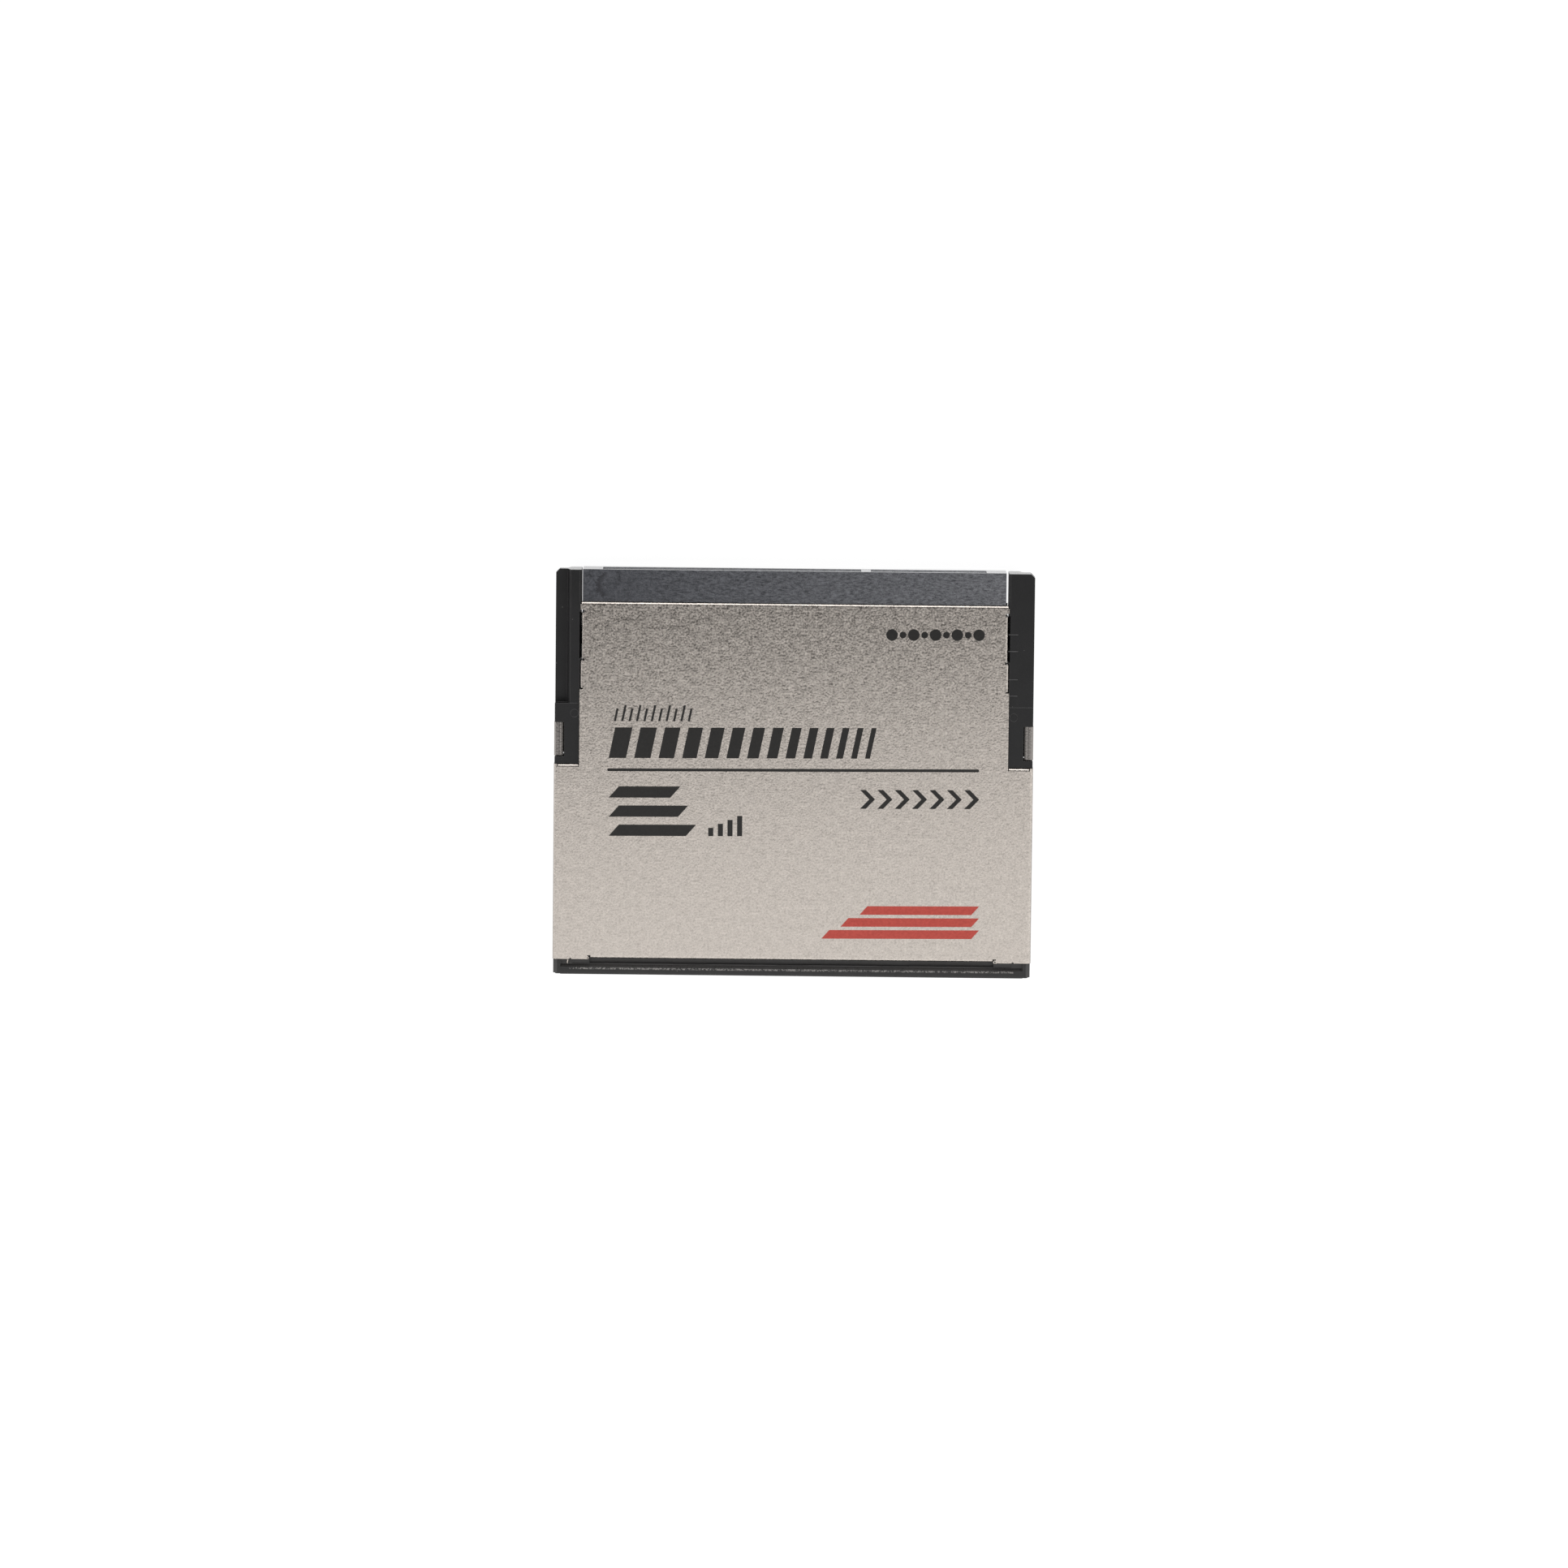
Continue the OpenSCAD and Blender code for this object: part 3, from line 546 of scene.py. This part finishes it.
def plated_lid():
    """Thin plated metal lid with a drawn, slightly streaked face."""
    streak_dark = rgba(0.5, 0.5, 0.5)
    streak_light = rgba(0.78, 0.77, 0.75)
    streak_stretch = (0.05, 1.0, 1.0)
    streak_range = (0.3, 0.7)

    material, tree, shader = new_finish("plated_lid", Metallic=1.0)
    edge = place_group(tree, EDGE, {"Width": 0.08})
    streaks = noise(tree, drawn_out(tree, object_place(tree), streak_stretch), 14 / MM, Detail=2.0)
    connect(tree, shader,
            colour=blend_colours(tree, streaks, streak_dark, streak_light),
            roughness=spread(tree, streaks, *streak_range, 0.2, 0.4),
            normal=edge["Normal"])
    return material


def tinned_part(name, body_dark, body_light, end_share):
    """A small board part whose two ends are tinned, with a fired or pressed body between them."""
    tin = rgba(0.7, 0.69, 0.67)
    material, tree, shader = new_finish(name, IOR=1.5)
    grain = place_group(tree, GRAIN, {"Grain size": 0.08, "Cloud size": 0.8})
    ends = place_group(tree, TINNED, {"End share": end_share})["Ends"]
    body = blend_colours(tree, grain["Speck"], body_dark, body_light)
    tree.links.new(ends, shader.inputs["Metallic"])
    connect(tree, shader,
            colour=blend_colours(tree, ends, body, tin),
            roughness=blend_values(tree, grain["Cloud"], 0.28, 0.5),
            normal=bump(tree, grain["Height"], depth_mm=0.006, strength=0.5))
    return material


def speckled_film(name, dark, light):
    """A matt film, such as screen printed ink, that follows the grain of what lies under it."""
    material, tree, shader = new_finish(name, IOR=1.45)
    grain = place_group(tree, GRAIN, {"Grain size": 0.21, "Cloud size": 1.5})
    connect(tree, shader,
            colour=blend_colours(tree, grain["Speck"], dark, light),
            roughness=blend_values(tree, grain["Cloud"], 0.42, 0.55),
            normal=bump(tree, grain["Height"], depth_mm=0.01, strength=0.5))
    return material


FINISHES = {
    "cover_sheet": satin_steel(),
    "frame_plastic": black_moulding(),
    "connector_plastic": blue_grey_moulding(),
    "contact_gold": gold_plating(),
    "board_laminate": green_laminate(),
    "chip_mould": chip_moulding(),
    "crystal_can": plated_lid(),
    "inductor_body": tinned_part("pressed_ferrite", rgba(0.09, 0.085, 0.085), rgba(0.16, 0.155, 0.155), 0.16),
    "capacitor_body": tinned_part("fired_ceramic", rgba(0.33, 0.23, 0.13), rgba(0.46, 0.33, 0.2), 0.125),
    "resistor_body": tinned_part("black_glaze", rgba(0.02, 0.02, 0.023), rgba(0.045, 0.045, 0.05), 0.125),
}
BLACK_INK = speckled_film("black_ink", rgba(0.010, 0.009, 0.008), rgba(0.018, 0.0165, 0.015))
# Painted highlight: the witness ridges are painted paler than the rail, so that they show as light lines
RIDGE_HIGHLIGHT_PLASTIC = speckled_film("ridge_highlight_plastic", rgba(0.035, 0.034, 0.035), rgba(0.075, 0.073, 0.074))
RED_INK = speckled_film("red_ink", rgba(0.46, 0.055, 0.04), rgba(0.60, 0.085, 0.062))


def dress_frame():
    """Gives each solid of the card its finish, by the slot that the record names."""
    slots = {part["node"]: part["material_slot"] for part in frame["record"]["subparts"]}
    for name, piece in frame["nodes"].items():
        for holder in piece.material_slots:
            holder.material = FINISHES[slots[name]]


def add_piece(name, builder, finish):
    """A closed mesh as a piece of the card, with its finish."""
    mesh = bpy.data.meshes.new(name)
    bmesh.ops.recalc_face_normals(builder, faces=builder.faces)
    builder.to_mesh(mesh)
    builder.free()
    mesh.materials.append(finish)
    piece = bpy.data.objects.new(name, mesh)
    bpy.context.scene.collection.objects.link(piece)
    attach(piece, BODY)


# Witness lines that the mould left on the right-hand rail

# In millimetres
WITNESS_LEFT = 19.04
WITNESS_RIGHT = 19.9
WITNESS_ROWS = (12.72, 11.22, 8.69, 7.23)
WITNESS_WIDTH = 0.07
WITNESS_PROUD = 0.02
WITNESS_ROOT = 0.01


def witness_lines():
    """Low ridges across the rail, in a row, as one piece."""
    builder = bmesh.new()
    ends = [x * MM for x in (WITNESS_LEFT, WITNESS_RIGHT)]
    root_z = FRAME_HIGH.z - WITNESS_ROOT * MM
    crest_z = FRAME_HIGH.z + WITNESS_PROUD * MM
    for y in WITNESS_ROWS:
        sides = ((y - WITNESS_WIDTH / 2) * MM, (y + WITNESS_WIDTH / 2) * MM)
        foot = [builder.verts.new((x, side, root_z)) for x in ends for side in sides]
        crest = [builder.verts.new((x, y * MM, crest_z)) for x in ends]
        builder.faces.new((foot[0], foot[2], crest[1], crest[0]))
        builder.faces.new((foot[3], foot[1], crest[0], crest[1]))
        builder.faces.new((foot[1], foot[0], crest[0]))
        builder.faces.new((foot[2], foot[3], crest[1]))
        builder.faces.new((foot[0], foot[1], foot[3], foot[2]))
    add_piece("witness_lines", builder, RIDGE_HIGHLIGHT_PLASTIC)


# Slivers that the press left at the ends of the cover's rear lip and at one corner

# In millimetres. Each sliver has its place, with its height from the cover's face, and the points that
# it runs through.
SLIVER_RADIUS = 0.06
CURL = (
    (-0.1, -0.13, -0.1), (-0.14, 0.02, 0.0), (-0.07, 0.13, 0.03), (0.07, 0.11, 0.03),
    (0.12, -0.02, -0.02), (0.04, -0.12, -0.06), (-0.03, -0.03, -0.08))
THORN = ((0.0, 0.14, -0.02), (0.05, 0.0, 0.03), (-0.02, -0.14, 0.0), (-0.01, -0.3, -0.12))
SLIVERS = {
    "lip_burr_left": ((-18.3, -16.68, -0.07), CURL),
    "lip_burr_right": ((18.2, -16.72, -0.07), [(-x, y, z) for x, y, z in CURL]),
    "corner_thorn": ((-20.05, -16.9, -0.08), THORN),
}


def metal_sliver(name, place, points):
    """A thin curled sliver of sheet."""
    line = bpy.data.curves.new(name, "CURVE")
    line.dimensions = "3D"
    line.bevel_depth = SLIVER_RADIUS * MM
    line.bevel_resolution = 2
    line.resolution_u = 6
    line.use_fill_caps = True
    path = line.splines.new("NURBS")
    path.points.add(len(points) - 1)
    path.order_u = 3
    path.use_endpoint_u = True
    for point, (x, y, z) in zip(path.points, points):
        point.co = ((place[0] + x) * MM, (place[1] + y) * MM, FACE_Z + (place[2] + z) * MM, 1.0)
    line.materials.append(FINISHES["cover_sheet"])
    piece = bpy.data.objects.new(name, line)
    bpy.context.scene.collection.objects.link(piece)
    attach(piece, BODY)


# Print on the cover: plain shapes only

INK_DEPTH = 0.004 * MM
INK_PROUD = 0.006 * MM
PRINT_SKEW = math.radians(0.42)

# Outlines are in millimetres from the middle of the card, and each row is given by its left-hand shape
PRINT_LEFT = -16.5
PRINT_RIGHT = 16.45
BAR_SLANT = math.tan(math.radians(12))
STRIPE_SLANT = 0.9


def print_shapes(name, outlines, ink):
    """A film of ink on the cover's outer face, as one piece of closed flat shapes, printed a little askew."""
    builder = bmesh.new()
    for outline in outlines:
        low = [builder.verts.new((x * MM, y * MM, FACE_Z - INK_DEPTH)) for x, y in outline]
        high = [builder.verts.new((x * MM, y * MM, FACE_Z + INK_PROUD)) for x, y in outline]
        builder.faces.new(high)
        builder.faces.new(low[::-1])
        for i in range(len(outline)):
            j = (i + 1) % len(outline)
            builder.faces.new((low[i], low[j], high[j], high[i]))
    skew = Matrix.Rotation(PRINT_SKEW, 3, "Z")
    bmesh.ops.rotate(builder, cent=(0.0, 0.0, FACE_Z), matrix=skew, verts=builder.verts)
    add_piece(name, builder, ink)


def slanted_bar(x, y, width, height, slant):
    """A bar leaning to the right, by its lower left corner."""
    lean = height * slant
    return [(x, y), (x + width, y), (x + width + lean, y + height), (x + lean, y + height)]


def disc(x, y, radius):
    """A round dot by its centre."""
    count = 28
    turn = 2 * math.pi / count
    return [(x + radius * math.cos(i * turn), y + radius * math.sin(i * turn)) for i in range(count)]


def chevron(x, y, width, height, thickness):
    """An arrow head that points to the right, by its lower left corner."""
    nose = width - thickness
    return [(x, y), (x + thickness, y), (x + width, y + height / 2), (x + thickness, y + height),
            (x, y + height), (x + nose, y + height / 2)]


def print_rule():
    """A thin rule across the cover, with rounded ends."""
    y = 0.39
    radius = 0.13
    steps = 16
    turns = [math.pi * i / steps for i in range(steps + 1)]
    left_end = [(PRINT_LEFT - radius * math.sin(turn), y + radius * math.cos(turn)) for turn in turns]
    right_end = [(PRINT_RIGHT + radius * math.sin(turn), y - radius * math.cos(turn)) for turn in turns]
    print_shapes("print_rule", [left_end + right_end], BLACK_INK)


def print_speed_bars():
    """Bold slanted bars that grow thinner to the right, under a row of fine strokes."""
    bar_count = 14
    bar_y = 1.45
    bar_height = 2.75
    bar_gap = 0.72
    widest = 1.55
    thinning = 0.085
    outlines = []
    x = PRINT_LEFT
    for i in range(bar_count):
        width = widest - thinning * i
        outlines.append(slanted_bar(x, bar_y, width, bar_height, BAR_SLANT))
        x += width + bar_gap

    stroke_count = 11
    stroke_x = PRINT_LEFT + 0.45
    stroke_y = 4.75
    stroke_pitch = 0.66
    stroke_width = 0.2
    stroke_heights = (1.15, 1.45)
    for i in range(stroke_count):
        x = stroke_x + stroke_pitch * i
        outlines.append(slanted_bar(x, stroke_y, stroke_width, stroke_heights[i % 2], BAR_SLANT))
    print_shapes("print_speed_bars", outlines, BLACK_INK)


def print_dots():
    """A row of dots near the connector end, each second one smaller."""
    count = 9
    first_x = 8.75
    y = 12.55
    pitch = 0.97
    radii = (0.52, 0.3)
    outlines = [disc(first_x + pitch * i, y, radii[i % 2]) for i in range(count)]
    print_shapes("print_dots", outlines, BLACK_INK)


def print_chevrons():
    """A row of arrow heads under the rule."""
    count = 7
    first_x = 5.95
    pitch = 1.55
    outlines = [
        chevron(first_x + pitch * i, -3.05, width=1.35, height=1.7, thickness=0.52)
        for i in range(count)]
    print_shapes("print_chevrons", outlines, BLACK_INK)


def print_stack():
    """A large pictogram of stacked layers, with a small row of growing bars beside it."""
    foot_y = -5.55
    layer_count = 3
    layer_pitch = 1.72
    layer_height = 1.02
    longest = 6.9
    layer_loss = 0.7
    outlines = [
        slanted_bar(PRINT_LEFT, foot_y + layer_pitch * i,
                    longest - layer_loss * i, layer_height, STRIPE_SLANT)
        for i in range(layer_count)]

    bar_count = 4
    bar_x = -7.6
    bar_pitch = 0.86
    bar_width = 0.46
    lowest = 0.75
    bar_growth = 0.36
    outlines += [
        slanted_bar(bar_x + bar_pitch * i, foot_y, bar_width, lowest + bar_growth * i, slant=0.0)
        for i in range(bar_count)]
    print_shapes("print_stack", outlines, BLACK_INK)


def print_red_stripes():
    """Three red stripes with slanted ends. The higher ones start further to the right and end in line."""
    count = 3
    first_x = 2.55
    first_y = -14.75
    indent = 1.7
    pitch = 1.08
    longest = 13.4
    height = 0.78
    outlines = [
        slanted_bar(first_x + indent * i, first_y + pitch * i, longest - indent * i, height, STRIPE_SLANT)
        for i in range(count)]
    print_shapes("print_red_stripes", outlines, RED_INK)


# Table, room, lamps and camera, in metres

ROOM_LEVEL = 0.165

# The table's section from its middle outwards, as (radius, height), and how far it lies below the card
TABLE_PROFILE = ((0.15, 0.0), (0.5, 0.0), (2.2, 0.0), (2.45, 0.07), (2.6, 0.25), (2.65, 0.6))
TABLE_GAP = 0.02 * MM
ROUND_SIDES = 64
CANOPY_RADIUS = 2.64
CANOPY_HEIGHT = 1.1


def seen_directly(tree, path):
    """1 for what the camera sees, itself or in a reflection, and 0 for the light that falls on the card."""
    seen = calculate(tree, "MAXIMUM", path.outputs["Is Camera Ray"], path.outputs["Is Glossy Ray"])
    return calculate(tree, "MAXIMUM", seen, path.outputs["Is Transmission Ray"])


def empty_material(name):
    """A material with its output alone."""
    material = bpy.data.materials.new(name)
    material.use_nodes = True
    tree = material.node_tree
    tree.nodes.clear()
    return material, tree, tree.nodes.new("ShaderNodeOutputMaterial")


def glowing(tree, strength):
    """A white glow."""
    return add_node(tree, "Emission", None, {"Color": rgba(1, 1, 1), "Strength": strength}).outputs[0]


def painted(tree, level):
    """A matt grey paint."""
    return add_node(tree, "BsdfDiffuse", None, {"Color": rgba(level, level, level)}).outputs[0]


def mix_shaders(tree, share, first, second):
    """A shader between two others by share."""
    return add_node(tree, "MixShader", None, {0: share, 1: first, 2: second}).outputs[0]


def add_stage(name, builder, material):
    """A mesh of the studio, which isn't part of the card."""
    mesh = bpy.data.meshes.new(name)
    builder.to_mesh(mesh)
    builder.free()
    mesh.materials.append(material)
    thing = bpy.data.objects.new(name, mesh)
    bpy.context.scene.collection.objects.link(thing)
    return thing


def table_paint():
    """White paint that looks white and keeps a soft shadow. From below the camera sees through it."""
    material, tree, output = empty_material("table_white")
    path = add_node(tree, "LightPath")
    lit = painted(tree, 0.8)
    white = add_node(tree, "AddShader", None, {0: painted(tree, 0.25), 1: glowing(tree, 0.9)}).outputs[0]
    upper = mix_shaders(tree, seen_directly(tree, path), lit, white)
    behind = add_node(tree, "NewGeometry").outputs["Backfacing"]
    from_below = calculate(tree, "MULTIPLY", behind, path.outputs["Is Camera Ray"])
    clear = add_node(tree, "BsdfTransparent").outputs[0]
    tree.links.new(mix_shaders(tree, from_below, upper, clear), output.inputs["Surface"])
    return material


def white_table():
    """A white table that turns up into a round wall far away."""
    builder = bmesh.new()
    turn = 2 * math.pi / ROUND_SIDES
    rings = []
    for radius, height in TABLE_PROFILE:
        rings.append([
            builder.verts.new((radius * math.cos(i * turn), radius * math.sin(i * turn), height - TABLE_GAP))
            for i in range(ROUND_SIDES)])
    builder.faces.new(rings[0])
    for inner, outer in zip(rings, rings[1:]):
        for i in range(ROUND_SIDES):
            j = (i + 1) % ROUND_SIDES
            builder.faces.new((inner[i], outer[i], outer[j], inner[j]))
    add_stage("white_table", builder, table_paint())


def room_light():
    """Even grey room, seen as white by the camera and by reflections."""
    world = bpy.data.worlds.new("room")
    bpy.context.scene.world = world
    world.use_nodes = True
    tree = world.node_tree
    tree.nodes.clear()
    path = add_node(tree, "LightPath")
    dim, white = [
        add_node(tree, "Background", None, {"Color": rgba(1, 1, 1), "Strength": strength}).outputs[0]
        for strength in (ROOM_LEVEL, 1.0)]
    output = tree.nodes.new("ShaderNodeOutputWorld")
    tree.links.new(mix_shaders(tree, seen_directly(tree, path), dim, white), output.inputs["Surface"])


def grey_canopy():
    """A dim grey screen over the table, out of the picture, that the metal reflects."""
    material, tree, output = empty_material("canopy_grey")
    tree.links.new(glowing(tree, ROOM_LEVEL), output.inputs["Surface"])
    builder = bmesh.new()
    bmesh.ops.create_circle(builder, cap_ends=True, segments=ROUND_SIDES, radius=CANOPY_RADIUS)
    canopy = add_stage("grey_canopy", builder, material)
    canopy.location = (0.0, 0.0, CANOPY_HEIGHT)
    canopy.visible_camera = False


def soft_box(name, place, aim, width, depth, radiance, turn=0.0):
    """A rectangular lamp that looks equally bright from every side it faces."""
    lamp = bpy.data.lights.new(name, "AREA")
    lamp.shape = "RECTANGLE"
    lamp.size = width
    lamp.size_y = depth
    lamp.energy = radiance * width * depth * math.pi
    holder = bpy.data.objects.new(name, lamp)
    bpy.context.scene.collection.objects.link(holder)
    holder.location = place
    towards_aim = (Vector(aim) - Vector(place)).to_track_quat("-Z", "Y")
    holder.rotation_euler = (Matrix.Rotation(turn, 3, "Z") @ towards_aim.to_matrix()).to_euler()
    holder.visible_camera = False


def light_card():
    """A low box over the rear, whose near edge the cover mirrors, and one ahead of the connector end."""
    rear_y = -0.2555
    soft_box("rear_box", place=(0.0, rear_y, 0.12), aim=(0.0, rear_y, 0.0),
             width=0.9, depth=0.5, radiance=0.91, turn=math.radians(4))
    soft_box("front_box", place=(0.0, 0.6, 0.24), aim=(0.0, 0.0, 0.0),
             width=1.3, depth=0.5, radiance=2.0)


def set_camera():
    """The camera above the card, leaning towards the connector end and turned a little."""
    data = bpy.data.cameras.new("camera")
    data.sensor_width = SENSOR_SIDE
    data.lens = SENSOR_SIDE * CAMERA_DISTANCE * PIXELS_PER_MM / (PHOTO_SIDE * MM)
    data.clip_start = CLIP_START
    data.clip_end = CLIP_END
    camera = bpy.data.objects.new("camera", data)
    bpy.context.scene.collection.objects.link(camera)

    outward = Vector((0.0, math.sin(CAMERA_TILT), math.cos(CAMERA_TILT)))
    roll = Matrix.Rotation(CAMERA_ROLL, 3, outward)
    rightward = roll @ Vector((1.0, 0.0, 0.0))
    upward = roll @ Vector((0.0, math.cos(CAMERA_TILT), -math.sin(CAMERA_TILT)))
    middle = PHOTO_SIDE / 2
    aside = (middle - CARD_IN_PHOTO[0]) / PIXELS_PER_MM * MM
    down = (middle - CARD_IN_PHOTO[1]) / PIXELS_PER_MM * MM
    target = Vector((0.0, 0.0, FACE_Z)) + rightward * aside - upward * down
    axes = Matrix((rightward, upward, outward)).transposed()
    camera.matrix_world = Matrix.Translation(target + outward * CAMERA_DISTANCE) @ axes.to_4x4()
    bpy.context.scene.camera = camera


# The scene

dress_frame()
witness_lines()
for sliver_name, (sliver_place, sliver_points) in SLIVERS.items():
    metal_sliver(sliver_name, sliver_place, sliver_points)
print_rule()
print_speed_bars()
print_dots()
print_chevrons()
print_stack()
print_red_stripes()

white_table()
room_light()
grey_canopy()
light_card()
set_camera()
bpy.context.scene.view_settings.view_transform = "Standard"
